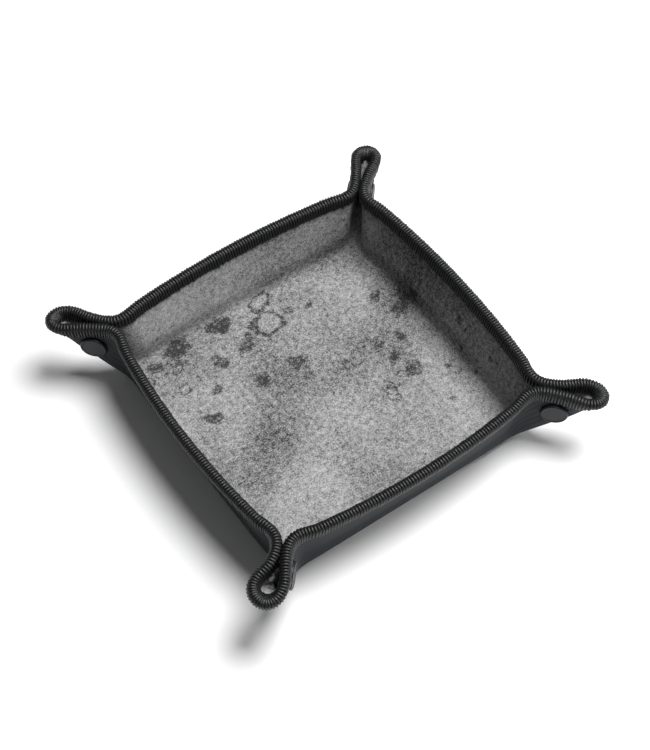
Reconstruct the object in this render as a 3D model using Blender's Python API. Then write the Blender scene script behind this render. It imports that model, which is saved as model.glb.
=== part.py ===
# A folding dice tray: a square foam mat whose four corners are pinched into ears and held by
# snap fasteners, so that its sides stand up as walls round a square floor.
#
# Every panel is drawn flat, as it lies in the unfolded mat, in the frame of the empty that sits
# on its fold line. The empties' turns fold the mat. +Z is up, and the mat rests on z = 0.

import math

import bmesh
import bpy
from mathutils import Matrix

# The mat
MAT_SIDE = 0.200  # side of the flat square mat
FLOOR_SIDE = 0.128  # side of the square between the four wall folds
MAT_THICK = 0.003  # face cloth, foam and backing together
FACE_THICK = 0.0005  # printed face cloth
LAYER_GAP = 0.0002  # between the face cloth and the foam
WALL_LEAN = math.radians(82)  # a wall's fold up from the floor, at the wall's ends
WALL_BOW = 0.005  # how far the middle of a wall's rim bulges outwards
FOLD_CLEARANCE = 0.0004  # between the floor's and a wall's inner edges, half on each side
PINCH_CLEARANCE = 0.00022  # the same between a wall and an ear
WALL_STEPS = 10  # straight facets along a bowed wall

# The pinched corners
EAR_GAP = 0.003  # between the facing prints of an ear's two halves
EAR_POINT = 0.0025  # how far the ear's lower point is cut back
TIP_WIDTH = 0.004  # strip of mat past the ear's fold, at the ear's tip
TIP_ROOM = 0.0014  # round that strip, which slides a little in the far half as the ear opens
CAP_TO_TIP = 0.001  # from a snap's cap to that strip

# The overlock thread edge
EDGE_BAND = 0.005  # how far the stitches reach in from the rim
EDGE_COAT = 0.00045  # thickness of thread on the faces
EDGE_FRONT = 0.0006  # thickness of thread on the rim
EDGE_GAP = 0.00015

# The snap fasteners
CAP_TO_ROOT = 0.0043  # from the ear's root at the rim to a cap's border, along the rim
CAP_TO_BAND = 0.0008  # from the edge's band of thread to a cap's border
CAP_RADIUS = 0.0062
CAP_THICK = 0.0016
CAP_BEVEL = 0.0009
POST_RADIUS = 0.0012
POST_HOLE_RADIUS = 0.0016  # through the mat
RIVET_HOLE_RADIUS = 0.00145  # through the socket and the stud
DISC_RADIUS = 0.0052  # socket and stud
SOCKET_WEB = 0.0005
STUD_FLANGE = 0.0007
KNOB_RADIUS = 0.0021
KNOB_ROOM = 0.0002  # between the stud's knob and the socket's bore and web
SNAP_CLEARANCE = 0.0003  # between the closed socket and the stud's flange
SEAT_GAP = 0.00015  # between a snap piece and the cloth that it sits on
ROUND_STEPS = 20

SIDES = ("east", "north", "west", "south")
CORNERS = ("ne", "nw", "sw", "se")

HALF_FLOOR = FLOOR_SIDE / 2
WALL_HEIGHT = MAT_SIDE / 2 - HALF_FLOOR
HALF_THICK = MAT_THICK / 2
EAR_OFFSET = (MAT_THICK + EAR_GAP) / 2  # from the ear's middle plane to the middle of each half
FACE_LOW = HALF_THICK - FACE_THICK
FOAM_HIGH = FACE_LOW - LAYER_GAP
PINCH_START = HALF_FLOOR - EAR_OFFSET * math.sqrt(2)  # along the floor fold, from its middle
PINCH_SLOPE = math.cos(WALL_LEAN)  # the pinch fold's run along the wall for each metre up it
PINCH_ANGLE = math.atan(PINCH_SLOPE)
PINCH_FOLD = math.acos(math.sin(WALL_LEAN) / math.sqrt(2))
FOLD_ROOM = HALF_THICK * math.tan(WALL_LEAN / 2) + FOLD_CLEARANCE  # from a floor fold's axis
EDGE_HEIGHT = HALF_THICK + EDGE_GAP + EDGE_COAT  # from the mat's middle to the thread's surface
PINCH_ROOM = EDGE_HEIGHT * math.tan(PINCH_FOLD / 2) + PINCH_CLEARANCE  # from a pinch fold's axis
SOCKET_THICK = EAR_GAP - 2 * SEAT_GAP - STUD_FLANGE - SNAP_CLEARANCE
KNOB_LENGTH = SOCKET_THICK - SOCKET_WEB + SNAP_CLEARANCE - KNOB_ROOM
FOLD_TURN = math.pi * EAR_OFFSET / 2  # half the mat that goes round the ear's fold
SNAP_X = WALL_HEIGHT - EDGE_BAND - CAP_TO_BAND - CAP_RADIUS
SNAP_Y = PINCH_START + WALL_HEIGHT * PINCH_SLOPE + CAP_TO_ROOT + CAP_RADIUS


def material(name, colour, roughness, metallic=0.0):
    made = bpy.data.materials.new(name)
    made.use_nodes = True
    shader = made.node_tree.nodes["Principled BSDF"]
    shader.inputs["Base Color"].default_value = (*colour, 1)
    shader.inputs["Roughness"].default_value = roughness
    shader.inputs["Metallic"].default_value = metallic
    return made


def add(name, bm, parent, finish):
    """The object NAME from a bmesh, under its empty."""
    bmesh.ops.recalc_face_normals(bm, faces=bm.faces)
    mesh = bpy.data.meshes.new(name)
    bm.to_mesh(mesh)
    bm.free()
    mesh.materials.append(finish)
    made = bpy.data.objects.new(name, mesh)
    made.parent = parent
    bpy.context.scene.collection.objects.link(made)
    return made


def empty(name, parent, place):
    made = bpy.data.objects.new(name, None)
    made.empty_display_size = 0.01
    made.parent = parent
    made.matrix_local = place
    bpy.context.scene.collection.objects.link(made)
    return made


def panel(name, profile, first, last, parent, finish, steps=1, bow=0.0, place=None):
    """A solid with the closed outline PROFILE, as (x up the wall, z), carried from y = first(x) to
    y = last(x). Its middle bulges to -z by BOW at the rim. PLACE moves it out of the flat frame."""
    bm = bmesh.new()
    rings = []
    for step in range(steps + 1):
        share = step / steps
        bulge = bow * (1 - (2 * share - 1) ** 2) / WALL_HEIGHT
        rings.append(
            [
                bm.verts.new((x, first(x) + share * (last(x) - first(x)), z - bulge * x))
                for x, z in profile
            ]
        )
    count = len(profile)
    for before, after in zip(rings, rings[1:]):
        for k in range(count):
            n = (k + 1) % count
            # the same diagonal on every layer keeps bowed layers apart
            if profile[k][0] < profile[n][0]:
                bm.faces.new((before[k], before[n], after[n]))
                bm.faces.new((before[k], after[n], after[k]))
            else:
                bm.faces.new((before[k], before[n], after[k]))
                bm.faces.new((before[n], after[n], after[k]))
    bm.faces.new(rings[0])
    bm.faces.new(rings[-1])
    if place:
        bmesh.ops.transform(bm, matrix=place, verts=bm.verts)
    return add(name, bm, parent, finish)


def turned(name, profile, parent, place, finish, closed):
    """A round piece from the (radius, z) PROFILE. A closed profile makes a ring, and an open one
    starts and ends on the axis."""
    bm = bmesh.new()
    points = profile + profile[:1] if closed else profile
    verts = [bm.verts.new((r, 0, z)) for r, z in points]
    edges = [bm.edges.new(pair) for pair in zip(verts, verts[1:])]
    bmesh.ops.spin(
        bm,
        geom=verts + edges,
        cent=(0, 0, 0),
        axis=(0, 0, 1),
        angle=2 * math.pi,
        steps=ROUND_STEPS,
        use_duplicate=False,
    )
    bmesh.ops.remove_doubles(bm, verts=bm.verts, dist=1e-6)
    bmesh.ops.transform(bm, matrix=place, verts=bm.verts)
    made = add(name, bm, parent, finish)
    made.data.shade_smooth()
    made.data.set_sharp_from_angle(angle=math.radians(30))
    return made


def cut(target, cutter):
    modifier = target.modifiers.new("cut", "BOOLEAN")
    modifier.operation = "DIFFERENCE"
    modifier.solver = "EXACT"
    modifier.object = cutter


def guide(made):
    made.hide_render = True
    made.display_type = "WIRE"
    return made


def rod(radius, low_z, high_z):
    return [(0, low_z), (radius, low_z), (radius, high_z), (0, high_z)]


def slab(rows, low_z, high_z):
    """The outline of a flat layer, with a point on both faces at each x in ROWS."""
    return [(x, low_z) for x in rows] + [(x, high_z) for x in reversed(rows)]


def edge_outline():
    """The U of thread that wraps the rim, in the wall's (x, z)."""
    band = WALL_HEIGHT - EDGE_BAND
    inner, outer = HALF_THICK + EDGE_GAP, EDGE_HEIGHT
    bottom, front = WALL_HEIGHT + EDGE_GAP, WALL_HEIGHT + EDGE_GAP + EDGE_FRONT
    half = [(band, inner), (bottom, inner)]
    return (
        [(band, outer)]
        + half
        + [(x, -z) for x, z in reversed(half)]
        + [(band, -outer), (front, -outer), (front, outer)]
    )


def pinch_line(x):
    return PINCH_START + PINCH_SLOPE * x


def wall_end(x):
    return pinch_line(x) - PINCH_ROOM / math.cos(PINCH_ANGLE)


def ear_start(x):
    return pinch_line(x) + PINCH_ROOM / math.cos(PINCH_ANGLE)


def ear_fold(x, back=0.0):
    """Where an ear's panel stops, BACK from where the mat starts to turn round the fold."""
    return HALF_FLOOR + x - (FOLD_TURN + back) * math.sqrt(2)


def ear_point():
    """How far up the wall the ear's panel starts."""
    meeting = (ear_start(0) - ear_fold(0)) / (1 - PINCH_SLOPE)
    return meeting + EAR_POINT


def floor_panels(root, finish):
    half = HALF_FLOOR - FOLD_ROOM
    for layer, low, high in (("foam", -HALF_THICK, FOAM_HIGH), ("face", FACE_LOW, HALF_THICK)):
        panel(
            "floor_" + layer,
            slab((-half, half), low, high),
            lambda x: -half,
            lambda x: half,
            root,
            finish[layer],
        )


def wall(side, fold, finish):
    for layer, low, high in (("foam", -HALF_THICK, FOAM_HIGH), ("face", FACE_LOW, HALF_THICK)):
        panel(
            f"wall_{side}_{layer}",
            slab((FOLD_ROOM, WALL_HEIGHT - EDGE_BAND, WALL_HEIGHT), low, high),
            lambda x: -wall_end(x),
            wall_end,
            fold,
            finish[layer],
            WALL_STEPS,
            WALL_BOW,
        )
    panel(
        f"wall_{side}_edge",
        edge_outline(),
        lambda x: -wall_end(x),
        wall_end,
        fold,
        finish["thread"],
        WALL_STEPS,
        WALL_BOW,
    )


def pinch_place(way):
    """The pinch fold's frame in the wall's: x runs up the fold. WAY is 1 at the wall's +y end."""
    return Matrix.Translation((0, way * PINCH_START, 0)) @ Matrix.Rotation(
        way * PINCH_ANGLE, 4, "Z"
    )


def ear(name, way, fold, tip_cutter, finish):
    """One half of an ear, with the hole for its snap's post."""
    place = pinch_place(way).inverted()
    hole = guide(
        turned(
            f"cut_{name}",
            rod(POST_HOLE_RADIUS, -MAT_THICK, MAT_THICK),
            fold,
            place @ Matrix.Translation((SNAP_X, way * SNAP_Y, 0)),
            finish["foam"],
            closed=False,
        )
    )
    for layer, low, high in (("foam", -HALF_THICK, FOAM_HIGH), ("face", FACE_LOW, HALF_THICK)):
        made = panel(
            f"{name}_{layer}",
            slab((ear_point(), WALL_HEIGHT), low, high),
            lambda x: way * ear_start(x),
            lambda x: way * ear_fold(x),
            fold,
            finish[layer],
            place=place,
        )
        cut(made, hole)
        if tip_cutter:
            cut(made, tip_cutter)
    back = TIP_WIDTH + TIP_ROOM if tip_cutter else 0.0
    panel(
        f"{name}_edge",
        edge_outline(),
        lambda x: way * ear_start(x),
        lambda x: way * ear_fold(x, back),
        fold,
        finish["thread"],
        place=place,
    )


def tip_strip(name, fold, finish, room=0.0, past=0.0):
    """The strip of mat past the ear's fold, at the ear's tip. It is drawn on the near side of the
    fold, as the panels are, and mirrored to the far side."""
    start = SNAP_X + CAP_RADIUS + CAP_TO_TIP
    flip = Matrix.Scale(-1, 4, (0, 1, 0)) @ Matrix.Rotation(-math.pi / 4, 4, "Z")
    return panel(
        name,
        slab((start - room, WALL_HEIGHT + past), -HALF_THICK - past, HALF_THICK + past),
        lambda x: ear_fold(x, TIP_WIDTH + room),
        lambda x: ear_fold(x, -past),
        fold,
        finish["foam"],
        place=flip @ Matrix.Translation((0, -HALF_FLOOR, -EAR_OFFSET)),
    )


def cap(name, parent, place, post_end, finish):
    """A cap on the backing, whose post goes through the mat to post_end. z runs towards the print."""
    under = -HALF_THICK - SEAT_GAP
    top = under - CAP_THICK
    outline = [
        (0, top),
        (CAP_RADIUS - 1.6 * CAP_BEVEL, top),
        (CAP_RADIUS, top + CAP_BEVEL),
        (CAP_RADIUS, under),
        (POST_RADIUS, under),
        (POST_RADIUS, post_end),
        (0, post_end),
    ]
    turned(name, outline, parent, place, finish["plastic"], closed=False)


def snap_place(way):
    return pinch_place(way).inverted() @ Matrix.Translation((SNAP_X, way * SNAP_Y, 0))


def socket_half(corner, parent, way, finish):
    seat = HALF_THICK + SEAT_GAP
    web, mouth = seat + SOCKET_WEB, seat + SOCKET_THICK
    bore = KNOB_RADIUS + KNOB_ROOM
    ring = [
        (RIVET_HOLE_RADIUS, seat),
        (DISC_RADIUS, seat),
        (DISC_RADIUS, mouth),
        (bore, mouth),
        (bore, web),
        (RIVET_HOLE_RADIUS, web),
    ]
    place = snap_place(way)
    turned(f"snap_{corner}_socket", ring, parent, place, finish["plastic"], closed=True)
    cap(f"snap_{corner}_socket_cap", parent, place, web, finish)


def stud_half(corner, parent, way, finish):
    seat = HALF_THICK + SEAT_GAP
    flange = seat + STUD_FLANGE
    knob = flange + KNOB_LENGTH
    ring = [
        (RIVET_HOLE_RADIUS, seat),
        (DISC_RADIUS, seat),
        (DISC_RADIUS, flange),
        (KNOB_RADIUS, flange),
        (KNOB_RADIUS, knob),
        (RIVET_HOLE_RADIUS, knob),
    ]
    place = snap_place(way)
    turned(f"snap_{corner}_stud", ring, parent, place, finish["plastic"], closed=True)
    cap(f"snap_{corner}_stud_cap", parent, place, flange, finish)


def build():
    for old in list(bpy.data.objects):
        bpy.data.objects.remove(old)
    finish = {
        "foam": material("backing", (0.013, 0.018, 0.024), 0.9),
        "face": material("print", (0.22, 0.22, 0.23), 0.85),
        "thread": material("thread", (0.01, 0.01, 0.012), 0.6),
        "plastic": material("plastic", (0.03, 0.034, 0.04), 0.3),
    }
    root = empty("floor_frame", None, Matrix.Translation((0, 0, HALF_THICK)))
    floor_panels(root, finish)
    folds = {}
    for k, side in enumerate(SIDES):
        turn = Matrix.Rotation(k * math.pi / 2, 4, "Z")
        lift = Matrix.Translation((HALF_FLOOR, 0, 0)) @ Matrix.Rotation(-WALL_LEAN, 4, "Y")
        folds[side] = empty(f"fold_{side}", root, turn @ lift)
        wall(side, folds[side], finish)
    for k, corner in enumerate(CORNERS):
        near, far = SIDES[k], SIDES[(k + 1) % 4]
        pinch = {}
        for side, way in ((near, 1), (far, -1)):
            place = pinch_place(way) @ Matrix.Rotation(-way * PINCH_FOLD, 4, "X")
            pinch[side] = empty(f"pinch_{corner}_{side}", folds[side], place)
        diagonal = (
            pinch_place(1).inverted()
            @ Matrix.Translation((0, HALF_FLOOR, EAR_OFFSET))
            @ Matrix.Rotation(math.pi / 4, 4, "Z")
            @ Matrix.Rotation(math.pi, 4, "X")
        )
        tip = empty(f"tip_{corner}", pinch[near], diagonal)
        tip_strip(f"ear_{corner}_tip", tip, finish)
        notch = guide(tip_strip(f"cut_{corner}_tip", tip, finish, TIP_ROOM, MAT_THICK))
        ear(f"ear_{corner}_{near}", 1, pinch[near], None, finish)
        ear(f"ear_{corner}_{far}", -1, pinch[far], notch, finish)
        socket_half(corner, pinch[near], 1, finish)
        stud_half(corner, pinch[far], -1, finish)


build()
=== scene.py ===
import math
import random

import bpy
import numpy as np
from mathutils import Matrix, Vector


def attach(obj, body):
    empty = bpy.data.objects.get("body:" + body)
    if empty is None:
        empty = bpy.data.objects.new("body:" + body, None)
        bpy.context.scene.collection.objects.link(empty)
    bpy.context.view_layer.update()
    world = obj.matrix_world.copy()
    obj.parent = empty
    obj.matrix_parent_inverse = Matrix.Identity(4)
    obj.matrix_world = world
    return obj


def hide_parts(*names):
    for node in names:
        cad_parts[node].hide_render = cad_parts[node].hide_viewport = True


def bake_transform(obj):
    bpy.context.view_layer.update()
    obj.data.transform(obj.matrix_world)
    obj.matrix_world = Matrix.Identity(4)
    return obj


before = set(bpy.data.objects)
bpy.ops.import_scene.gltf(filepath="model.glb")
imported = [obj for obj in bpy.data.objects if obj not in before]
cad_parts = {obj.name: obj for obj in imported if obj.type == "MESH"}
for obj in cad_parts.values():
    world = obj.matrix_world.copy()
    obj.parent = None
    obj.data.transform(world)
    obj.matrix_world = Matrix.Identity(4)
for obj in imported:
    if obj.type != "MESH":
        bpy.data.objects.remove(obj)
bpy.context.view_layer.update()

scene = bpy.context.scene

# every length is in metres
mat = {
    "side": 0.200,
    "floor": 0.128,
    "thick": 0.003,
    "faceThick": 0.0005,
    "layerGap": 0.00005,
    "cornerRound": 0.009,
    "wallLean": math.radians(82),
    "wallBow": 0.0055,
    "floorBend": 0.0080,  # from a floor fold's axis to the end of its bend
    "pinchBend": 0.0050,
    "earOffset": 0.003,
    "halfCells": 50,  # grid cells from the middle to a rim while the sheet settles
    "snapInset": 0.012,  # a snap's middle, down from the rim
    "snapOut": 0.0105,  # and out from the ear's root
}
sides = ("east", "north", "west", "south")
corners = ("ne", "nw", "sw", "se")

halfSide = mat["side"] / 2
halfFloor = mat["floor"] / 2
halfThick = mat["thick"] / 2
wallHeight = halfSide - halfFloor
earOffset = mat["earOffset"]
pinchStart = halfFloor - earOffset * math.sqrt(2)
pinchSlope = math.cos(mat["wallLean"])
pinchAngle = math.atan(pinchSlope)
pinchFold = math.acos(math.sin(mat["wallLean"]) / math.sqrt(2))
foldTurn = math.pi * earOffset / 2
snapUp = wallHeight - mat["snapInset"]
snapAlong = pinchStart + wallHeight * pinchSlope + mat["snapOut"]

view = {
    "azimuth": math.radians(54.9),
    "elevation": math.radians(55.5),
    "distance": 0.811,
    "target": (0, 0, 0.020),
    "lens": 99.7,  # millimetres, on a sensor 36 wide
    "shift": (0.003, 0.002),
}


def placeCamera():
    level = math.cos(view["elevation"])
    x, y = -math.cos(view["azimuth"]) * level, -math.sin(view["azimuth"]) * level
    back = Vector((x, y, math.sin(view["elevation"])))
    data = bpy.data.cameras.new("camera")
    data.lens = view["lens"]
    data.sensor_width = 36
    data.sensor_fit = "HORIZONTAL"
    data.shift_x, data.shift_y = view["shift"]
    data.clip_start = 0.01
    camera = bpy.data.objects.new("camera", data)
    camera.location = Vector(view["target"]) + back * view["distance"]
    camera.rotation_euler = back.to_track_quat("Z", "Y").to_euler()
    scene.collection.objects.link(camera)
    scene.camera = camera


# draws a square grid's outer corners in to a quarter circle
def roundCorners(flat):
    reach = mat["cornerRound"]
    start = halfSide - reach
    away = np.maximum(np.abs(flat) - start, 0)
    length = np.hypot(away[..., 0], away[..., 1])
    scale = np.where(length > 0, away.max(-1) / np.where(length > 0, length, 1), 1)
    inside = np.minimum(np.abs(flat), start)
    return np.sign(flat) * (inside + away * scale[..., None])


# where a sheet goes that bends by an angle about a fold at 0: along, up, and its direction
def bent(distance, reach, angle):
    radius = reach / math.tan(angle / 2)
    turn = np.clip((distance + reach) / (2 * reach), 0, 1) * angle
    along = -reach + radius * np.sin(turn)
    up = radius * (1 - np.cos(turn))
    past = np.maximum(distance - reach, 0)
    before = np.minimum(distance + reach, 0)
    return along + before + past * np.cos(turn), up + past * np.sin(turn), turn


# folds points at x up the east wall, and a along it towards its left end, into the tray
def foldSector(x, a):
    # the half turn round the ear's fold
    toFold = (x - a + halfFloor) / math.sqrt(2)
    short = np.clip(foldTurn - toFold, 0, foldTurn) * (x > 0)
    turn = short / earOffset
    x0 = x + short / math.sqrt(2) - earOffset * np.sin(turn) / math.sqrt(2)
    a0 = a - short / math.sqrt(2) + earOffset * np.sin(turn) / math.sqrt(2)
    lift = earOffset * (1 - np.cos(turn))
    # the pinch fold
    cosine, sine = math.cos(pinchAngle), math.sin(pinchAngle)
    along = x0 * cosine + (a0 - pinchStart) * sine
    across = (a0 - pinchStart) * cosine - x0 * sine
    bentAcross, bentUp, angle = bent(across, mat["pinchBend"], pinchFold)
    angle, bentUp = angle * (x > 0), bentUp * (x > 0)
    bentAcross = np.where(x > 0, bentAcross, across)
    across = bentAcross + lift * np.sin(angle)
    z = -bentUp + lift * np.cos(angle)
    x1 = along * cosine - across * sine
    y1 = pinchStart + along * sine + across * cosine
    # the wall's bow
    share = np.clip(a / (pinchStart + pinchSlope * np.maximum(x, 0)), 0, 1)
    z = z - mat["wallBow"] * np.clip(x / wallHeight, 0, 1) * (1 - share**2)
    # the floor fold
    out, up, lean = bent(x1, mat["floorBend"], mat["wallLean"])
    return np.stack(
        [halfFloor + out - z * np.sin(lean), y1, halfThick + up + z * np.cos(lean)], -1
    )


# the whole mat's first fold, quarter by quarter
def foldMat(flat):
    folded = np.zeros((*flat.shape[:-1], 3))
    angle = np.arctan2(flat[..., 1], flat[..., 0])
    for k in range(4):
        away = (angle - k * math.pi / 2 + math.pi) % (2 * math.pi) - math.pi
        mine = np.abs(away) <= math.pi / 4 + 1e-9
        local = turnFlat(flat[mine], -k)
        place = foldSector(local[:, 0] - halfFloor, np.abs(local[:, 1]))
        place[:, 1] *= np.where(local[:, 1] < 0, -1, 1)
        folded[mine] = turnPoints(place, k)
    return folded


def turnFlat(points, quarter):
    cosine, sine = round(math.cos(quarter * math.pi / 2)), round(math.sin(quarter * math.pi / 2))
    x, y = points[..., 0], points[..., 1]
    return np.stack([x * cosine - y * sine, x * sine + y * cosine], -1)


def turnPoints(points, quarter):
    return np.concatenate([turnFlat(points, quarter), points[..., 2:]], -1)


# for each flat point: its wall's and its corner's number, which half of the wall it is in, how far
# up the wall, how far along from the middle, past the pinch fold, and short of the ear's fold
def sectorOf(flat):
    angle = np.arctan2(flat[..., 1], flat[..., 0])
    number = np.round(angle / (math.pi / 2)).astype(int) % 4
    local = np.zeros_like(flat)
    for k in range(4):
        local[number == k] = turnFlat(flat[number == k], -k)
    x, a = local[..., 0] - halfFloor, np.abs(local[..., 1])
    way = np.where(local[..., 1] > 0, 1, -1)
    corner = np.where(way > 0, number, (number - 1) % 4)
    across = (a - pinchStart - pinchSlope * x) * math.cos(pinchAngle)
    toFold = (x - a + halfFloor) / math.sqrt(2)
    return number, corner, way, x, a, across, toFold


settle = {
    "steps": 700,
    "bending": 0.012,  # shares of an error that one step takes away
    "stretch": 0.16,
    "keeping": 0.5,
    "floorClear": 0.002,  # past a floor fold's bend the floor lies still
    "wallClear": 0.011,  # as far from its folds a wall is held a little
    "wallHold": 0.10,
    "snapReach": 0.0068,
    "keepOff": 0.0017,  # from an ear's plane to the middle of each half
    "earClear": 0.001,  # past the floor fold and the pinch fold an ear starts
    "tipFree": 0.0045,  # the stretch at an ear's fold that closes the loop
    # each half of an ear stands further off below this height up the wall
    "pocket": 0.0020,
    "pocketTop": 0.030,
    "pocketFade": 0.006,
    "pocketEdge": 0.003,
    # one half of each ear swells into a loop: which half, and how far
    "swell": {"ne": (1, 0.0020), "nw": (1, 0.0030), "sw": (1, 0.0062), "se": (-1, 0.0034)},
    "swellStart": 0.001,  # past the snap's middle
    "swellFoot": 0.014,  # up the wall
    "swellRise": 0.016,
    "swellLength": 1.1,
}


# the folded sheet settles: foam that resists stretch and bending, held where it lies on the table,
# along the walls and at the snaps, with the ears' halves kept apart
def relaxMat(flat, folded):
    place = folded.copy()
    _, corner, way, x, a, across, toFold = sectorOf(flat)
    hold = np.zeros(x.shape)
    hold[x < -mat["floorBend"] - settle["floorClear"]] = 1
    wall = (x > settle["wallClear"]) & (across < -settle["wallClear"])
    hold[wall] = settle["wallHold"]
    hold[np.hypot(x - snapUp, a - snapAlong) < settle["snapReach"]] = 1
    hold = hold[..., None]
    # which side of its ear's plane each point stays on, and how far
    ear = (x > settle["earClear"]) & (across > settle["earClear"])
    normal = np.zeros((*x.shape, 3))
    swell = np.zeros(x.shape)
    under = np.clip((settle["pocketTop"] - x) / settle["pocketFade"], 0, 1)
    pocket = settle["pocket"] * under * np.clip(across / settle["pocketEdge"], 0, 1)
    for k, name in enumerate(corners):
        angle = k * math.pi / 2 + math.pi / 4
        here = corner == k
        normal[here] = np.array([math.sin(angle), -math.cos(angle), 0]) * way[here][:, None]
        half, size = settle["swell"][name]
        mine = here & ear & (way == half)
        along = np.clip((a - snapAlong - settle["swellStart"]) / (halfSide - snapAlong), 0, 1)
        wave = np.sin(math.pi * np.clip(along * settle["swellLength"], 0, 1))
        shape = wave * np.clip((x - settle["swellFoot"]) / settle["swellRise"], 0, 1)
        swell[mine] = size * shape[mine]
    edges = [
        (np.s_[:, :-1], np.s_[:, 1:], 1.0),
        (np.s_[:-1, :], np.s_[1:, :], 1.0),
        (np.s_[:-1, :-1], np.s_[1:, 1:], 0.5),
        (np.s_[1:, :-1], np.s_[:-1, 1:], 0.5),
    ]
    rest = [np.linalg.norm(flat[one] - flat[two], axis=-1) for one, two, _ in edges]
    need = settle["keepOff"] + swell + pocket
    for _ in range(settle["steps"]):
        # bending: each point drifts towards the plane of its neighbours' neighbours
        curve = np.zeros_like(place)
        curve[1:-1, :] += place[2:, :] + place[:-2, :] - 2 * place[1:-1, :]
        curve[:, 1:-1] += place[:, 2:] + place[:, :-2] - 2 * place[:, 1:-1]
        push = np.zeros_like(place)
        push[1:-1, :] += curve[2:, :] + curve[:-2, :] - 2 * curve[1:-1, :]
        push[:, 1:-1] += curve[:, 2:] + curve[:, :-2] - 2 * curve[:, 1:-1]
        push[0, :] += curve[1, :]
        push[-1, :] += curve[-2, :]
        push[:, 0] += curve[:, 1]
        push[:, -1] += curve[:, -2]
        place = place - settle["bending"] * push * (1 - hold)
        move = np.zeros_like(place)
        for (one, two, stiff), length in zip(edges, rest):
            gap = place[two] - place[one]
            now = np.linalg.norm(gap, axis=-1)
            share = settle["stretch"] * stiff * (1 - length / np.maximum(now, 1e-9))
            pull = share[..., None] * gap
            move[one] += pull
            move[two] -= pull
        place = place + move * (1 - hold)
        place = place + hold * settle["keeping"] * (folded - place)
        off = (place * normal).sum(-1)
        lack = np.where(ear & (toFold > settle["tipFree"]), np.maximum(need - off, 0), 0)
        lack = lack * (1 - hold[..., 0])
        place = place + lack[..., None] * normal * settle["keeping"]
        place[..., 2] = np.maximum(place[..., 2], halfThick)
    return place


# doubles a grid with cubic curves through its points
def finer(grid):
    for axis in (0, 1):
        g = np.moveaxis(grid, axis, 0)
        padded = np.concatenate([2 * g[:1] - g[1:2], g, 2 * g[-1:] - g[-2:-1]])
        middle = (9 * (padded[1:-2] + padded[2:-1]) - padded[:-3] - padded[3:]) / 16
        out = np.empty((2 * len(g) - 1, *g.shape[1:]))
        out[::2] = g
        out[1::2] = middle
        grid = np.moveaxis(out, 0, axis)
    return grid


def normalsOf(place):
    du = np.gradient(place, axis=0)
    dv = np.gradient(place, axis=1)
    normal = np.cross(du, dv)
    return normal / np.linalg.norm(normal, axis=-1, keepdims=True)


print("the camera")
placeCamera()

print("folding the mat")
steps = np.linspace(-halfSide, halfSide, 2 * mat["halfCells"] + 1)
square = np.stack(np.meshgrid(steps, steps, indexing="ij"), -1)
coarse = roundCorners(square)
sheetGrid = finer(relaxMat(coarse, foldMat(coarse)))
fineSteps = np.linspace(-halfSide, halfSide, len(sheetGrid))
flatGrid = roundCorners(np.stack(np.meshgrid(fineSteps, fineSteps, indexing="ij"), -1))
normalGrid = normalsOf(sheetGrid)


# a grid's value at square places, between its points in straight lines
def readGrid(grid, at):
    cell = (np.asarray(at) + halfSide) / mat["side"] * (len(grid) - 1)
    low = np.clip(np.floor(cell).astype(int), 0, len(grid) - 2)
    part = cell - low
    i, j, u, v = low[..., 0], low[..., 1], part[..., :1], part[..., 1:]
    return (
        grid[i, j] * (1 - u) * (1 - v)
        + grid[i + 1, j] * u * (1 - v)
        + grid[i, j + 1] * (1 - u) * v
        + grid[i + 1, j + 1] * u * v
    )


def wallFrame(k):
    lift = Matrix.Translation((halfFloor, 0, 0)) @ Matrix.Rotation(-mat["wallLean"], 4, "Y")
    return Matrix.Translation((0, 0, halfThick)) @ Matrix.Rotation(k * math.pi / 2, 4, "Z") @ lift


def pinchLine(way):
    return Matrix.Translation((0, way * pinchStart, 0)) @ Matrix.Rotation(way * pinchAngle, 4, "Z")


def pinchFrame(k, way):
    return wallFrame(k) @ pinchLine(way) @ Matrix.Rotation(-way * pinchFold, 4, "X")


def snapFrame(k, way):
    place = pinchLine(way).inverted() @ Matrix.Translation((snapUp, way * snapAlong, 0))
    return pinchFrame(k, way) @ place


cut = {
    "floorClear": 0.001,  # from a floor fold's bend to the wall piece's end
    "earStart": 0.0016,  # how far up the wall the ears' pieces start
    "loopReach": 0.0062,  # from an ear's fold to the end of the tip's piece
    "loopFull": 0.006,  # the tip's piece narrows below this height
    "tipBlend": 0.0014,  # each side of an ear's plane
    "tipOut": 0.11,
}
wallReach = mat["floorBend"] + cut["floorClear"]


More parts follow.
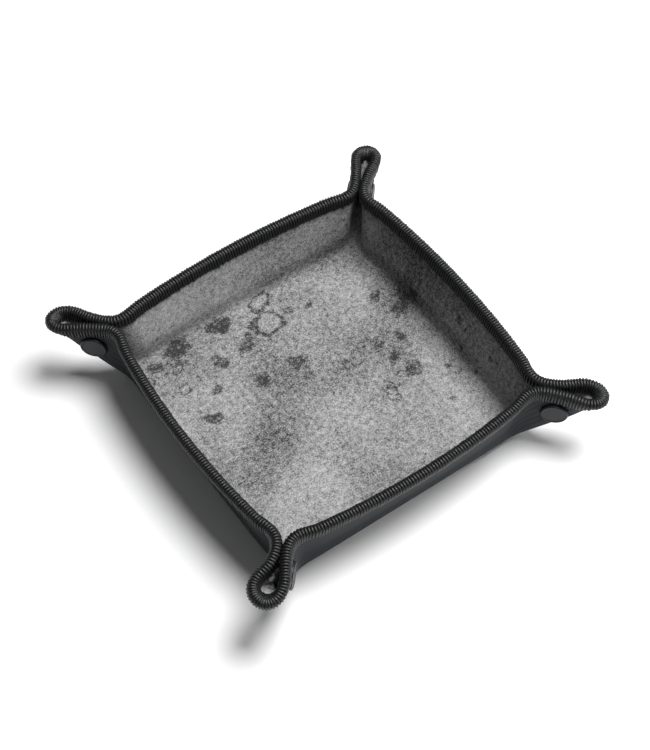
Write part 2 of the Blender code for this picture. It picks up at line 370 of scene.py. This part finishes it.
# the mat's pieces, each with the body or bodies that carry it
def pieceMap():
    pieces = [{"name": "floor", "bodies": ("floor",), "part": "floor"}]
    for k, side in enumerate(sides):
        frameK = wallFrame(k)
        start = frameK @ (Matrix.Rotation(mat["wallLean"], 4, "Y") @ Vector((-wallReach, 0, 0)))
        pieces.append(
            {
                "name": f"wall_{side}",
                "bodies": ("floor", f"wall_{side}"),
                "ends": (start, frameK @ Vector((wallReach, 0, 0))),
                "part": "wall",
                "side": k,
            }
        )
    for k, corner in enumerate(corners):
        for side, way in ((k, 1), ((k + 1) % 4, -1)):
            up = wallHeight / 2
            along = pinchStart + pinchSlope * up
            start = wallFrame(side) @ Vector((up, way * (along - mat["pinchBend"]), 0))
            end = pinchFrame(side, way) @ Vector((up, way * mat["pinchBend"], 0))
            pieces.append(
                {
                    "name": f"ear_{corner}_{sides[side]}",
                    "bodies": (f"wall_{sides[side]}", f"ear_{corner}_{sides[side]}"),
                    "ends": (start, end),
                    "part": "ear",
                    "side": side,
                    "way": way,
                }
            )
        angle = k * math.pi / 2 + math.pi / 4
        normal = Vector((-math.sin(angle), math.cos(angle), 0)) * cut["tipBlend"]
        middle = Vector((math.cos(angle), math.sin(angle), 0)) * cut["tipOut"]
        pieces.append(
            {
                "name": f"ear_{corner}_tip",
                "bodies": (f"ear_{corner}_{sides[k]}", f"ear_{corner}_tip"),
                "ends": (middle - normal, middle + normal),
                "part": "tip",
                "corner": k,
            }
        )
    return pieces


# the number of the piece that each flat point belongs to
def partOf(flat):
    number, corner, way, x, _, across, toFold = sectorOf(flat)
    found = 1 + number
    ear = (x > cut["earStart"]) & (across > -mat["pinchBend"])
    found = np.where(ear, 5 + 3 * corner + (way < 0), found)
    reach = cut["loopReach"] * np.clip(x / cut["loopFull"], 0.25, 1)
    found = np.where(ear & (toFold < reach), 7 + 3 * corner, found)
    return np.where(x < -wallReach, 0, found)


pieces = pieceMap()
cellMiddle = (flatGrid[:-1, :-1] + flatGrid[1:, 1:] + flatGrid[:-1, 1:] + flatGrid[1:, :-1]) / 4
cellPiece = partOf(cellMiddle)


# puts a finished mesh on the body that carries its piece of the mat; a piece between two bodies is only
# baked in place
def carry(made, piece):
    bodies = piece["bodies"]
    if len(bodies) == 1:
        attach(made, bodies[0])
    else:
        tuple(piece["ends"][0])
        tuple(piece["ends"][1])
        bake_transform(made)


def intoScene(name, mesh):
    made = bpy.data.objects.new(name, mesh)
    scene.collection.objects.link(made)
    return made


def smoothMesh(name, points, faces, finish):
    mesh = bpy.data.meshes.new(name)
    mesh.from_pydata(points, [], faces)
    mesh.materials.append(finish)
    mesh.shade_smooth()
    return mesh


# one closed layer of the mat between two heights from its middle, for one piece
def layerPiece(name, number, high, low, finish):
    cells = np.argwhere(cellPiece == number)
    i, j = cells[:, 0], cells[:, 1]
    size = len(sheetGrid)
    ring = np.stack([i * size + j, (i + 1) * size + j, (i + 1) * size + j + 1, i * size + j + 1], -1)
    used, local = np.unique(ring, return_inverse=True)
    ring = local.reshape(-1, 4)
    place = sheetGrid.reshape(-1, 3)[used]
    normal = normalGrid.reshape(-1, 3)[used]
    flat = flatGrid.reshape(-1, 2)[used]
    count = len(used)
    points = np.concatenate([place + normal * high, place + normal * low])
    # the border's edges are those that only one cell has
    edges = np.concatenate([ring[:, [0, 1]], ring[:, [1, 2]], ring[:, [2, 3]], ring[:, [3, 0]]])
    seen = {}
    for one, two in edges.tolist():
        seen[(one, two)] = seen.get((one, two), 0) + 1
    border = np.array([pair for pair in seen if (pair[1], pair[0]) not in seen])
    walls = np.stack([border[:, 1], border[:, 0], border[:, 0] + count, border[:, 1] + count], -1)
    faces = np.concatenate([ring, ring[:, ::-1] + count, walls])
    a, b, c = points[walls[:, 0]], points[walls[:, 1]], points[walls[:, 2]]
    side = np.cross(b - a, c - b)
    side /= np.maximum(np.linalg.norm(side, axis=-1, keepdims=True), 1e-12)
    loopNormals = np.concatenate(
        [normal[ring].reshape(-1, 3), -normal[ring[:, ::-1]].reshape(-1, 3), np.repeat(side, 4, axis=0)]
    )
    mesh = smoothMesh(name, points.tolist(), faces.tolist(), finish)
    uv = np.concatenate([flat, flat]) / mat["side"] + 0.5
    corner = np.empty(len(mesh.loops), int)
    mesh.loops.foreach_get("vertex_index", corner)
    layer = mesh.uv_layers.new(name="flat")
    layer.data.foreach_set("uv", uv[corner].astype(np.float32).ravel())
    mesh.normals_split_custom_set(loopNormals.tolist())
    one = flatGrid[i + 1, j + 1] - flatGrid[i, j]
    two = flatGrid[i, j + 1] - flatGrid[i + 1, j]
    area = np.abs(one[:, 0] * two[:, 1] - one[:, 1] * two[:, 0]).sum() / 2
    span = flat.max(0) - flat.min(0)
    return intoScene(name, mesh), (float(span[0]), float(span[1])), float(area)


# a socket that adds Math nodes as it is used
class Wire:
    def __init__(self, tree, socket):
        self.tree, self.socket = tree, socket

    def math(self, operation, *others, clamp=False):
        settings = {"operation": operation, "use_clamp": clamp}
        return self.tree.node("ShaderNodeMath", settings, [self, *others])[0]

    def __add__(self, other):
        return self.math("ADD", other)

    def __sub__(self, other):
        return self.math("SUBTRACT", other)

    def __mul__(self, other):
        return self.math("MULTIPLY", other)

    def __rsub__(self, other):
        return self.tree.node("ShaderNodeMath", {"operation": "SUBTRACT"}, [other, self])[0]

    __radd__ = __add__
    __rmul__ = __mul__

    def most(self, other):
        return self.math("MAXIMUM", other)

    # 0 below low and 1 above high, smoothly
    def step(self, low, high):
        settings = {"interpolation_type": "SMOOTHSTEP"}
        sockets = {"Value": self, "From Min": low, "From Max": high}
        return self.tree.node("ShaderNodeMapRange", settings, sockets)[0]


# a material under construction
class Finish:
    def __init__(self, name):
        self.material = bpy.data.materials.new(name)
        self.material.use_nodes = True
        self.nodes = self.material.node_tree.nodes
        self.links = self.material.node_tree.links
        self.shader = self.nodes["Principled BSDF"]

    def node(self, kind, settings=None, sockets=None):
        made = self.nodes.new(kind)
        for key, value in (settings or {}).items():
            if key == "stops":
                ramp = made.color_ramp.elements
                while len(ramp) < len(value):
                    ramp.new(0.5)
                for element, (position, colour) in zip(ramp, value):
                    element.position, element.color = position, (*colour, 1)
            else:
                setattr(made, key, value)
        if isinstance(sockets, list):
            sockets = dict(enumerate(sockets))
        for key, value in (sockets or {}).items():
            self.feed(made.inputs[key], value)
        return [Wire(self, out) for out in made.outputs if out.enabled]

    def feed(self, target, value):
        if isinstance(value, Wire):
            self.links.new(value.socket, target)
        elif isinstance(value, (tuple, list)) and len(value) == 3 and target.type == "RGBA":
            target.default_value = (*value, 1)
        else:
            target.default_value = value

    def set(self, **sockets):
        for key, value in sockets.items():
            self.feed(self.shader.inputs[key.replace("_", " ")], value)

    def uv(self):
        return self.node("ShaderNodeUVMap", {"uv_map": "flat"})[0]

    def scaled(self, vector, size, shift=(0, 0, 0)):
        sockets = {"Vector": vector, "Location": shift, "Scale": (size,) * 3}
        return self.node("ShaderNodeMapping", {"vector_type": "POINT"}, sockets)[0]

    def noise(self, vector, scale, detail=2.0, rough=0.5):
        sockets = {"Vector": vector, "Scale": scale, "Detail": detail, "Roughness": rough}
        return self.node("ShaderNodeTexNoise", {}, sockets)[0]

    def mix(self, factor, one, two):
        return self.node("ShaderNodeMix", {"data_type": "RGBA"}, {0: factor, 6: one, 7: two})[0]

    def vector(self, operation, one, two):
        second = "Scale" if operation == "SCALE" else 1
        return self.node("ShaderNodeVectorMath", {"operation": operation}, {0: one, second: two})[0]

    def bump(self, height, strength, distance):
        sockets = {"Height": height, "Strength": strength, "Distance": distance}
        self.set(Normal=self.node("ShaderNodeBump", {}, sockets)[0])


# a grey stone print with some painted light and shade: places and half sizes are in millimetres on the
# flat mat
stone = {
    "dark": (0.030, 0.030, 0.031),
    "pale": (0.50, 0.50, 0.50),
    # groups of dark pits: x, y, how far they spread, how many, half size, depth
    "pits": [
        (-30, 40, 24, 9, 4.8, 0.75),
        (10, 30, 24, 7, 3.6, 0.50),
        (60, 10, 24, 9, 4.0, 0.60),
        (60, -35, 26, 6, 2.0, 0.60),
        (0, 90, 50, 4, 3.0, 0.50),
    ],
    # groups of ring craters, in the same way; the last number is how dark a rim is
    "rings": [
        (-45, 55, 16, 3, 3.8, 0.65),
        (5, 55, 8, 2, 6.0, 0.70),
        (25, -10, 13, 6, 2.6, 0.60),
    ],
    "seed": 5,
    # broad tones, print and painted light and shade: x, y, half length, half width, turn, darker (or
    # paler, below 0)
    "tonesAndPaintedLight": [
        (-25, 5, 42, 14, 50, 0.24),
        # partly print, partly painted shade: the back-right (east) wall darker, as it faces away from the
        # light
        (88, 30, 30, 26, 0, 0.22),
        (60, 5, 40, 28, 0, 0.16),
        (-35, -42, 34, 26, 0, -0.22),
        (45, -45, 34, 26, 0, -0.14),
        # painted highlight: a pale ridge on the floor along the diagonal towards the back corner
        (44, 48, 12, 20, 45, -0.30),
        # painted light: the back-left (north) wall paler near its top, where the light falls on it
        (-30, 84, 44, 16, 0, -0.28),
    ],
}


# spots strewn about each group's middle: x, y, half length, half width, turn, depth
def scatter(groups, draw):
    spots = []
    for x, y, spread, count, size, depth in groups:
        for _ in range(count):
            long = size * draw.uniform(0.6, 1.4)
            wide = long * draw.uniform(0.6, 1.0)
            place = (x + draw.uniform(-spread, spread), y + draw.uniform(-spread, spread))
            spots.append((*place, long, wide, draw.uniform(-60, 60), depth * draw.uniform(0.7, 1.1)))
    return spots


# how far out a place is from a spot's middle, as a share of the spot's size
def spotDistance(finish, flat, spot):
    x, y, long, wide, turn = spot[:5]
    sockets = {
        "Vector": flat,
        "Location": (x / 1000, y / 1000, 0),
        "Rotation": (0, 0, math.radians(turn)),
        "Scale": (long / 1000, wide / 1000, 1),
    }
    local = finish.node("ShaderNodeMapping", {"vector_type": "TEXTURE"}, sockets)[0]
    return finish.node("ShaderNodeVectorMath", {"operation": "LENGTH"}, {0: local})[0]


def makePrint():
    finish = Finish("print_cloth")
    flat = finish.scaled(finish.uv(), mat["side"], shift=(-halfSide, -halfSide, 0))
    # the spots' outlines wander with a noise
    sockets = {"Vector": flat, "Scale": 170, "Detail": 4, "Roughness": 0.65}
    wander = finish.node("ShaderNodeTexNoise", {}, sockets)[1]
    shift = finish.vector("SUBTRACT", wander, (0.5, 0.5, 0.5))
    rough = finish.vector("ADD", flat, finish.vector("SCALE", shift, 0.0075))
    mottle = finish.noise(flat, 650, 3, 0.7).step(0.30, 0.66)
    shade = None
    draw = random.Random(stone["seed"])
    for spot in scatter(stone["pits"], draw):
        depth = (1 - spotDistance(finish, rough, spot).step(0.55, 1.25)) * spot[5]
        shade = depth if shade is None else shade.most(depth)
    shade = shade * (0.45 + mottle * 0.75)
    for spot in scatter(stone["rings"], draw):
        away = spotDistance(finish, rough, spot)
        rim = away.step(0.66, 0.92) * (1 - away.step(0.98, 1.22)) * spot[5]
        inside = (1 - away.step(0.60, 0.80)) * 0.16
        shade = (shade - inside).most(rim * (0.6 + mottle * 0.5))
    # the broad tones: print, with painted light and shade on the back walls and a painted highlight near
    # the back corner
    for spot in stone["tonesAndPaintedLight"]:
        shade = shade + (1 - spotDistance(finish, flat, spot).step(0.2, 1.3)) * spot[5]
    # small specks and pores all over
    pores = finish.noise(flat, 260, 3, 0.6).step(0.60, 0.74) * 0.30
    cloud = finish.noise(flat, 26, 4, 0.6) - 0.5
    grain = finish.noise(flat, 1350, 2, 0.75) - 0.5
    speckle = finish.noise(flat, 430, 3, 0.7) - 0.5
    tone = 0.385 - shade * 0.64 - pores * 0.9 + cloud * 0.85 + grain * 1.7 + speckle * 1.25
    stops = [(0.0, stone["dark"]), (1.0, stone["pale"])]
    colour = finish.node("ShaderNodeValToRGB", {"stops": stops}, {0: tone})[0]
    finish.set(Base_Color=colour, Roughness=0.88, Specular_IOR_Level=0.2)
    finish.bump(grain, 0.25, 0.0002)
    return finish.material


def makeBacking():
    finish = Finish("backing_cloth")
    flat = finish.scaled(finish.uv(), mat["side"])
    ribs = finish.node(
        "ShaderNodeTexWave",
        {"wave_type": "BANDS", "bands_direction": "DIAGONAL", "wave_profile": "SIN"},
        {"Vector": flat, "Scale": 150.0, "Distortion": 0.6, "Detail": 1.0, "Detail Scale": 2.0},
    )[1]
    fuzz = finish.noise(flat, 900, 2, 0.6)
    wear = finish.noise(flat, 30, 3, 0.5)
    tone = ribs * 0.45 + fuzz * 0.35 + wear * 0.3
    tone = tone.math("ADD", 0, clamp=True)
    colour = finish.mix(tone, (0.0035, 0.0045, 0.0056), (0.020, 0.0265, 0.033))
    finish.set(Base_Color=colour, Roughness=0.72, Specular_IOR_Level=0.35)
    finish.bump(ribs * 0.7 + fuzz * 0.3, 0.6, 0.0003)
    return finish.material


def makeThread(name, high, rough):
    finish = Finish(name)
    place = finish.node("ShaderNodeTexCoord")[3]
    strands = finish.noise(place, 1500, 2, 0.7)
    colour = finish.mix(strands.step(0.35, 0.8), (0.003, 0.0032, 0.0036), high)
    finish.set(Base_Color=colour, Roughness=rough)
    finish.bump(strands, 0.7, 0.0003)
    return finish.material


def makePlastic():
    finish = Finish("snap_plastic")
    place = finish.node("ShaderNodeTexCoord")[3]
    fine = finish.noise(place, 2500, 2, 0.6)
    smear = finish.noise(place, 160, 3, 0.5)
    colour = finish.mix(smear, (0.010, 0.0115, 0.0138), (0.014, 0.0162, 0.0190))
    finish.set(Base_Color=colour, Roughness=0.38 + smear * 0.12, Specular_IOR_Level=0.30)
    finish.bump(fine, 0.12, 0.00005)
    return finish.material


print("materials")
printFinish = makePrint()
backingFinish = makeBacking()
bandFinish = makeThread("thread_band", (0.004, 0.0043, 0.0048), 0.62)
stitchFinish = makeThread("thread_stitch", (0.017, 0.0178, 0.019), 0.42)
plasticFinish = makePlastic()


def makeLayers():
    faceLow = halfThick - mat["faceThick"]
    foamHigh = faceLow - mat["layerGap"]
    for number, piece in enumerate(pieces):
        name = piece["name"]
        face, flat, area = layerPiece(f"{name}_print", number, halfThick, faceLow, printFinish)
        foam, _, _ = layerPiece(f"{name}_backing", number, foamHigh, -halfThick, backingFinish)
        carry(face, piece)
        carry(foam, piece)
        if name.endswith("_tip"):
            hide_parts(name)
        elif piece["part"] != "tip":
            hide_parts(name + "_face")
            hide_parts(name + "_foam")


edge = {
    "reach": 0.0050,  # from the rim to the band's inner border
    "coat": 0.00035,  # the band's thickness on the mat's faces
    "front": 0.0007,  # and in front of its rim
    # across the band from its inner border: shares of the reach, and of the coat there
    "section": ((1, -0.6), (0.92, 1), (0.7, 1.25), (0.4, 1.4), (0.16, 1.35)),
    "rimCoat": 1.3,
    "rimSteps": 6,
    "bandStep": 0.001,
    "pitch": 0.0014,
    "stitchWide": 0.00130,
    "stitchThick": 0.0011,
}


# square places some depth in from the east rim
def inward(samples, depth):
    start = halfSide - mat["cornerRound"]
    over = np.maximum(np.abs(samples) - start, 0) * (1 - depth / mat["cornerRound"])
    drawn = np.sign(samples) * (np.minimum(np.abs(samples), start) + over)
    return np.stack([np.full(samples.shape, halfSide - depth), drawn], -1)


# the rim's points, surface normals and outward directions along a side
def rimFrames(side, samples):
    place = readGrid(sheetGrid, turnFlat(inward(samples, 0.0), side))
    inner = readGrid(sheetGrid, turnFlat(inward(samples, 0.0025), side))
    normal = readGrid(normalGrid, turnFlat(inward(samples, 0.0), side))
    normal /= np.linalg.norm(normal, axis=-1, keepdims=True)
    out = place - inner
    out -= (out * normal).sum(-1, keepdims=True) * normal
    out /= np.linalg.norm(out, axis=-1, keepdims=True)
    return place, normal, out


# the stretches of rim that a piece of the mat has: side, first, last
def rimSpans(piece):
    pinch = pinchStart + pinchSlope * wallHeight - mat["pinchBend"] / math.cos(pinchAngle)
    loop = halfSide - cut["loopReach"] * math.sqrt(2)
    if piece["part"] == "wall":
        return [(piece["side"], -pinch, pinch)]
    if piece["part"] == "ear":
        ends = sorted((piece["way"] * pinch, piece["way"] * loop))
        return [(piece["side"], *ends)]
    if piece["part"] == "tip":
        k = piece["corner"]
        return [(k, loop, halfSide), ((k + 1) % 4, -halfSide, -loop)]
    return []


# the close-laid thread under the stitches: a U over the rim, swept along its spans
def bandPiece(name, spans):
    section = [(edge["reach"] * deep, halfThick + edge["coat"] * coat) for deep, coat in edge["section"]]
    wide = halfThick + edge["coat"] * edge["rimCoat"]
    rings = []
    for side, first, last in spans:
        samples = np.linspace(first, last, max(int((last - first) / edge["bandStep"]), 4))
        if rings:
            samples = samples[1:]
        place, normal, out = rimFrames(side, samples)
        ring = []
        for depth, coat in section:
            at = turnFlat(inward(samples, depth), side)
            ring.append(readGrid(sheetGrid, at) + coat * readGrid(normalGrid, at))
        for turn in np.linspace(math.pi / 2, -math.pi / 2, edge["rimSteps"] + 1):
            ring.append(place + normal * wide * math.sin(turn) + out * edge["front"] * math.cos(turn))
        for depth, coat in section[::-1]:
            at = turnFlat(inward(samples, depth), side)
            ring.append(readGrid(sheetGrid, at) - coat * readGrid(normalGrid, at))
        rings.append(np.stack(ring, 1))
    rings = np.concatenate(rings)
    rows, around = rings.shape[:2]
    index = np.arange(rows * around).reshape(rows, around)
    turned = np.roll(index, -1, axis=1)
    faces = np.stack([index[:-1], turned[:-1], turned[1:], index[1:]], -1).reshape(-1, 4)
    ends = [index[0, ::-1].tolist(), index[-1].tolist()]
    points = rings.reshape(-1, 3).tolist()
    return intoScene(name, smoothMesh(name, points, faces.tolist() + ends, bandFinish))


# one overlock stitch: a flat thread that goes over the rim and down both faces
def stitchShape():
    reach, thick, wide = edge["reach"], edge["stitchThick"], edge["stitchWide"]
    height = halfThick + edge["coat"] + 0.0002
    # out from the rim, up from the mat's middle, share of the thread's size
    path = [
        (-reach - 0.0003, height - 0.0007, 0.45),
        (-reach + 0.0004, height, 0.8),
        (-0.6 * reach, height + 0.00005, 0.85),
        (-0.25 * reach, height + 0.0001, 0.95),
        (0.0004, height * 0.80, 1.0),
        (0.0010, 0.0, 1.05),
    ]
    path = path + [(x, -z, w) for x, z, w in path[-2::-1]]
    points, faces = [], []
    around = 6
    for n, (x, z, share) in enumerate(path):
        before, after = path[max(n - 1, 0)], path[min(n + 1, len(path) - 1)]
        along = Vector((after[0] - before[0], after[1] - before[1])).normalized()
        out = Vector((-along.y, along.x))  # away from the mat
        slant = wide * 0.28 * (n / (len(path) - 1) - 0.5)
        for s in range(around):
            turn = 2 * math.pi * s / around
            up, aside = math.sin(turn) * thick / 2 * share, math.cos(turn) * wide / 2 * share
            points.append((x + out.x * up, aside + slant, z + out.y * up))
    for n in range(len(path) - 1):
        for s in range(around):
            t = (s + 1) % around
            a, b = n * around, (n + 1) * around
            faces.append((a + s, a + t, b + t, b + s))
    last = (len(path) - 1) * around
    faces.append(tuple(range(around))[::-1])
    faces.append(tuple(last + s for s in range(around)))
    mesh = bpy.data.meshes.new("stitch_shape")
    mesh.from_pydata(points, [], faces)
    mesh.shade_smooth()
    return bpy.data.objects.new("stitch_shape", mesh)


# sews: a copy of the stitch on each point, turned to the point's rim and face directions
def stitchTree(shape):
    tree = bpy.data.node_groups.new("overlock", "GeometryNodeTree")
    socket = tree.interface.new_socket
    socket("Geometry", in_out="INPUT", socket_type="NodeSocketGeometry")
    for name in ("Stitch Size", "Unevenness"):
        socket(name, in_out="INPUT", socket_type="NodeSocketFloat")
    socket("Seed", in_out="INPUT", socket_type="NodeSocketInt")
    socket("Geometry", in_out="OUTPUT", socket_type="NodeSocketGeometry")
    node, link = tree.nodes.new, tree.links.new
    start, end = node("NodeGroupInput"), node("NodeGroupOutput")
    thing = node("GeometryNodeObjectInfo")
    thing.inputs["Object"].default_value = shape
    turn = node("FunctionNodeAxesToRotation")
    turn.primary_axis, turn.secondary_axis = "X", "Z"
    for axis, name in enumerate(("rimOut", "rimUp")):
        read = node("GeometryNodeInputNamedAttribute")
        read.data_type = "FLOAT_VECTOR"
        read.inputs["Name"].default_value = name
        link(read.outputs[0], turn.inputs[axis])
    uneven = node("FunctionNodeRandomValue")
    uneven.data_type = "FLOAT"
    low, high = node("ShaderNodeMath"), node("ShaderNodeMath")
    low.operation, high.operation = "SUBTRACT", "ADD"
    for sums in (low, high):
        link(start.outputs["Stitch Size"], sums.inputs[0])
        link(start.outputs["Unevenness"], sums.inputs[1])
    link(low.outputs[0], uneven.inputs[2])
    link(high.outputs[0], uneven.inputs[3])
    link(start.outputs["Seed"], uneven.inputs["Seed"])
    sew = node("GeometryNodeInstanceOnPoints")
    link(start.outputs["Geometry"], sew.inputs["Points"])
    link(thing.outputs["Geometry"], sew.inputs["Instance"])
    link(turn.outputs[0], sew.inputs["Rotation"])
    link(uneven.outputs[1], sew.inputs["Scale"])
    real, paint = node("GeometryNodeRealizeInstances"), node("GeometryNodeSetMaterial")
    paint.inputs["Material"].default_value = stitchFinish
    link(sew.outputs[0], real.inputs[0])
    link(real.outputs[0], paint.inputs[0])
    link(paint.outputs[0], end.inputs[0])
    return tree


# places along a stretch of rim that are one pitch apart in the folded mat
def evenSamples(side, first, last):
    dense = np.linspace(first, last, 400)
    place, _, out = rimFrames(side, dense)
    tip = place + out * edge["front"]
    length = np.concatenate([[0], np.cumsum(np.linalg.norm(np.diff(tip, axis=0), axis=-1))])
    count = max(int(round(length[-1] / edge["pitch"])), 1)
    return np.interp((np.arange(count) + 0.5) / count * length[-1], length, dense)


# the stitches of one piece's rim, as a plain mesh
def sewPiece(name, spans, tree):
    points, outs, ups = [], [], []
    for side, first, last in spans:
        place, normal, out = rimFrames(side, evenSamples(side, first, last))
        points.append(place)
        outs.append(out)
        ups.append(normal)
    mesh = bpy.data.meshes.new(name + "_points")
    mesh.from_pydata(np.concatenate(points).tolist(), [], [])
    for key, rows in (("rimOut", outs), ("rimUp", ups)):
        attribute = mesh.attributes.new(key, "FLOAT_VECTOR", "POINT")
        attribute.data.foreach_set("vector", np.concatenate(rows).astype(np.float32).ravel())
    guide = intoScene(name + "_points", mesh)
    sewing = guide.modifiers.new("sewing", "NODES")
    sewing.node_group = tree
    inputs = {i.name: i.identifier for i in tree.interface.items_tree if i.in_out == "INPUT"}
    sewing[inputs["Stitch Size"]] = 1.0
    sewing[inputs["Unevenness"]] = 0.05
    sewing[inputs["Seed"]] = len(name)
    bpy.context.view_layer.update()
    sewn = guide.evaluated_get(bpy.context.evaluated_depsgraph_get())
    solid = bpy.data.meshes.new_from_object(sewn)
    bpy.data.objects.remove(guide)
    for key in ("rimOut", "rimUp"):
        if key in solid.attributes:
            solid.attributes.remove(solid.attributes[key])
    return intoScene(name, solid)


def makeEdges():
    shape = stitchShape()
    tree = stitchTree(shape)
    for piece in pieces:
        spans = rimSpans(piece)
        if not spans:
            continue
        band = bandPiece(piece["name"] + "_band", spans)
        stitches = sewPiece(piece["name"] + "_stitches", spans, tree)
        for made in (band, stitches):
            carry(made, piece)
        if piece["part"] != "tip":
            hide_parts(piece["name"] + "_edge")
    bpy.data.objects.remove(shape)


snap = {
    "capRadius": 0.0062,
    "capThick": 0.0016,
    "seatGap": 0.00015,
    "postRadius": 0.0012,
    "rivetHole": 0.00145,
    "discRadius": 0.0052,
    "socketThick": 0.0017,
    "socketWeb": 0.0005,
    "studFlange": 0.0007,
    "knobRadius": 0.0021,
    "knobLength": 0.0013,
    "knobRoom": 0.0002,
    "round": 64,
}


# turns a profile of radius and height round the z axis
def lathe(name, profile, place, closed):
    rows, points, faces = [], [], []
    for radius, height in profile:
        if radius < 1e-9:
            rows.append([len(points)])
            points.append((0, 0, height))
            continue
        rows.append([len(points) + s for s in range(snap["round"])])
        for s in range(snap["round"]):
            turn = 2 * math.pi * s / snap["round"]
            points.append((radius * math.cos(turn), radius * math.sin(turn), height))
    pairs = list(zip(rows, rows[1:])) + ([(rows[-1], rows[0])] if closed else [])
    for low, high in pairs:
        for s in range(snap["round"]):
            t = (s + 1) % snap["round"]
            if len(low) == 1:
                faces.append((low[0], high[t], high[s]))
            elif len(high) == 1:
                faces.append((low[s], low[t], high[0]))
            else:
                faces.append((low[s], low[t], high[t], high[s]))
    mesh = smoothMesh(name, points, faces, plasticFinish)
    mesh.transform(place)
    mesh.set_sharp_from_angle(angle=math.radians(40))
    return intoScene(name, mesh)


def arc(middle, radius, first, last, steps=6):
    turns = [math.radians(first + (last - first) * n / steps) for n in range(steps + 1)]
    return [(middle[0] + radius * math.cos(t), middle[1] + radius * math.sin(t)) for t in turns]


# a cap with a raised ring near its rim, from its crown to its post's end
def capProfile(postEnd):
    under = -halfThick - snap["seatGap"]
    top = under - snap["capThick"]
    radius = snap["capRadius"]
    crown = [(0, top + 0.0001), (radius * 0.55, top + 0.00012), (radius - 0.0013, top + 0.0002)]
    lip = [(radius - 0.00115, top + 0.00008), (radius - 0.0009, top)]
    side = arc((radius - 0.0007, top + 0.0007), 0.0007, -90, 0)
    foot = [(radius, under - 0.0001), (radius - 0.0001, under), (snap["postRadius"], under)]
    return crown + lip + side + foot + [(snap["postRadius"], postEnd), (0, postEnd)]


def makeSnap(k, corner):
    seat = halfThick + snap["seatGap"]
    socketSide, studSide = k, (k + 1) % 4
    place = snapFrame(socketSide, 1)
    body = f"ear_{corner}_{sides[socketSide]}"
    web, mouth = seat + snap["socketWeb"], seat + snap["socketThick"]
    bore, disc = snap["knobRadius"] + snap["knobRoom"], snap["discRadius"]
    ring = [(snap["rivetHole"], seat), (disc, seat)]
    ring += arc((disc - 0.0004, mouth - 0.0004), 0.0004, 0, 90)
    ring += [(bore + 0.0002, mouth), (bore, mouth - 0.0002), (bore, web), (snap["rivetHole"], web)]
    parts = [
        (lathe(f"socket_{corner}", ring, place, True), f"snap_{corner}_socket", body),
        (lathe(f"socket_cap_{corner}", capProfile(web), place, False), f"snap_{corner}_socket_cap", body),
    ]
    place = snapFrame(studSide, -1)
    body = f"ear_{corner}_{sides[studSide]}"
    flange = seat + snap["studFlange"]
    knob = flange + snap["knobLength"]
    ring = [(snap["rivetHole"], seat), (disc, seat), (disc, flange - 0.0002), (disc - 0.0002, flange)]
    ring += [(snap["knobRadius"], flange), (snap["knobRadius"], knob - 0.0003)]
    ring += [(snap["knobRadius"] - 0.0003, knob), (snap["rivetHole"], knob)]
    parts += [
        (lathe(f"stud_{corner}", ring, place, True), f"snap_{corner}_stud", body),
        (lathe(f"stud_cap_{corner}", capProfile(flange), place, False), f"snap_{corner}_stud_cap", body),
    ]
    for made, node, rider in parts:
        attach(made, rider)
        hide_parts(node)


studio = {
    "floorSide": 6.0,
    "floorDrop": 0.0002,
    "world": 0.12,
    # place, size, power
    "key": ((0.32, -0.04, 0.98), 0.60, 15.5),
    "fill": ((0.74, -0.50, 0.52), 0.6, 3.4),
}


def makeStudio():
    reach, low = studio["floorSide"] / 2, -studio["floorDrop"]
    mesh = bpy.data.meshes.new("studio_floor")
    ends = [(x * reach, y * reach, low) for x, y in ((-1, -1), (1, -1), (1, 1), (-1, 1))]
    mesh.from_pydata(ends, [], [(0, 1, 2, 3)])
    finish = Finish("studio_floor")
    finish.set(Base_Color=(0.9, 0.9, 0.9), Roughness=0.9)
    mesh.materials.append(finish.material)
    intoScene("studio_floor", mesh)
    world = bpy.data.worlds.new("studio")
    world.use_nodes = True
    world.node_tree.nodes["Background"].inputs[0].default_value = (1, 1, 1, 1)
    world.node_tree.nodes["Background"].inputs[1].default_value = studio["world"]
    scene.world = world
    addLight("key", *studio["key"])
    addLight("fill", *studio["fill"])
    scene.view_settings.view_transform = "Standard"


def addLight(name, place, size, power):
    data = bpy.data.lights.new(name, "AREA")
    data.shape, data.size, data.energy = "DISK", size, power
    made = bpy.data.objects.new(name, data)
    made.location = place
    aim = Vector(place) - Vector(view["target"])
    made.rotation_euler = aim.to_track_quat("Z", "Y").to_euler()
    scene.collection.objects.link(made)


print("the mat's layers")
makeLayers()
print("the overlocked edge")
makeEdges()
print("the snaps")
for k, corner in enumerate(corners):
    makeSnap(k, corner)
print("the studio")
makeStudio()
